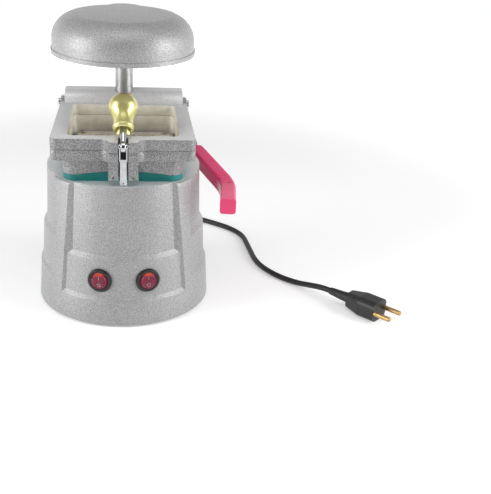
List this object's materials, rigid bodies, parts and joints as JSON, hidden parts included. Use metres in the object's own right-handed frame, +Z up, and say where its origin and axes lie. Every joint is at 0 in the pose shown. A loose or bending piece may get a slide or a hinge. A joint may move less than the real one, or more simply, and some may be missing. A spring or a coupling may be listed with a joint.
{
  "type": "dental vacuum former",
  "caption": "Dental vacuum former with a round cast base, sliding sheet frame, brass latch knob and domed heater on a post.",
  "frame": {"origin": "on the bench under the axis of the round base, level with the soles of the feet", "axes": "+Z up along the base axis, -Y towards the front with the switches, +X to the user's right"},
  "size_m": [0.3621, 0.2979, 0.2855],
  "materials": {
    "hammertone_grey": "hammertone enamel",
    "perforated_aluminium": "satin",
    "bright_reflector": "bright",
    "teal_silicone": "soft matte",
    "black_rubber": "matte",
    "chromed_steel": "mirror",
    "zinc_screws": "zinc plated",
    "turned_steel": "turned",
    "polished_brass": "polished",
    "bronze_bush": "turned",
    "carbon": "matte",
    "magenta_plastic": "gloss",
    "red_rocker": "translucent gloss",
    "black_plastic": "satin",
    "black_cord": "matte PVC",
    "element_steel": "heat darkened",
    "white_ceramic": "matte"
  },
  "bodies": {
    "base": {"housing": "hammertone_grey", "plenum_block": "hammertone_grey", "block_screws": "zinc_screws", "forming_plate": "perforated_aluminium", "plate_screws": "zinc_screws", "gasket": "teal_silicone", "post": "chromed_steel", "post_lock_screws": "zinc_screws", "stop_collar": "turned_steel", "switch_left": "black_plastic", "switch_right": "black_plastic", "rocker_pins": "zinc_screws", "motor_gasket": "black_rubber", "fan_casing": "perforated_aluminium", "motor_flange": "turned_steel", "motor_screws": "zinc_screws", "motor_can": "turned_steel", "bearings": "turned_steel", "stator": "turned_steel", "brushes": "carbon", "bottom_plate": "turned_steel", "plate_fixings": "zinc_screws", "feet": "black_rubber", "foot_screws": "zinc_screws", "terminal_block": "black_plastic", "cord_gland": "black_plastic", "gland_nut": "black_plastic", "cord_lead": "black_cord", "cord_coil": "black_cord", "cord_run": "black_cord", "mains_plug": "black_cord", "plug_pins": "bronze_bush"},
    "motor_rotor": {"motor_shaft": "turned_steel", "armature": "turned_steel", "impeller": "perforated_aluminium"},
    "switch_left_rocker": {"rocker_left": "red_rocker"},
    "switch_right_rocker": {"rocker_right": "red_rocker"},
    "carriage": {"lower_frame": "hammertone_grey", "latch_keeper": "hammertone_grey", "hinge_block": "hammertone_grey", "slide_bushes": "bronze_bush", "frame_bolts": "zinc_screws", "hinge_screws": "zinc_screws", "lift_arm": "turned_steel", "arm_screws": "zinc_screws", "handle_grip": "magenta_plastic"},
    "top_frame": {"upper_frame": "hammertone_grey", "latch_pin": "chromed_steel"},
    "latch_arm": {"latch_lever": "chromed_steel", "latch_knob": "polished_brass"},
    "latch_tail": {"latch_tongue": "chromed_steel"},
    "heater": {"dome": "hammertone_grey", "hub_screw": "zinc_screws", "swivel_bush": "bronze_bush", "element": "element_steel", "heater_plate": "white_ceramic", "reflector": "bright_reflector", "heater_screws": "zinc_screws"}
  },
  "joints": [
    {"name": "motor_spin", "type": "hinge", "parent": "base", "child": "motor_rotor", "pos_m": [0, 0, 0.08], "axis": [0, 0, 1], "continuous": true},
    {"name": "switch_left_press", "type": "hinge", "parent": "base", "child": "switch_left_rocker", "pos_m": [-0.02284, -0.07709, 0.047], "axis": [-0.9588, 0.284, 0], "range_deg": [0, 14]},
    {"name": "switch_right_press", "type": "hinge", "parent": "base", "child": "switch_right_rocker", "pos_m": [0.02284, -0.07709, 0.047], "axis": [-0.9588, -0.284, 0], "range_deg": [0, 14]},
    {"name": "frame_lift", "type": "slide", "parent": "base", "child": "carriage", "axis": [0, 0, 1], "range_m": [0, 0.04]},
    {"name": "frame_open", "type": "hinge", "parent": "carriage", "child": "top_frame", "pos_m": [0, 0.069, 0.1805], "axis": [-1, 0, 0], "range_deg": [0, 24]},
    {"name": "latch_throw", "type": "hinge", "parent": "top_frame", "child": "latch_arm", "pos_m": [0, -0.0685, 0.1774], "axis": [1, 0, 0], "range_deg": [0, 100]},
    {"name": "tongue_swing", "type": "hinge", "parent": "top_frame", "child": "latch_tail", "pos_m": [0, -0.0685, 0.1774], "axis": [-1, 0, 0], "range_deg": [0, 50]},
    {"name": "heater_swing", "type": "hinge", "parent": "base", "child": "heater", "pos_m": [0, 0.07, 0.26], "axis": [0, 0, 1], "range_deg": [-120, 120]}
  ]
}
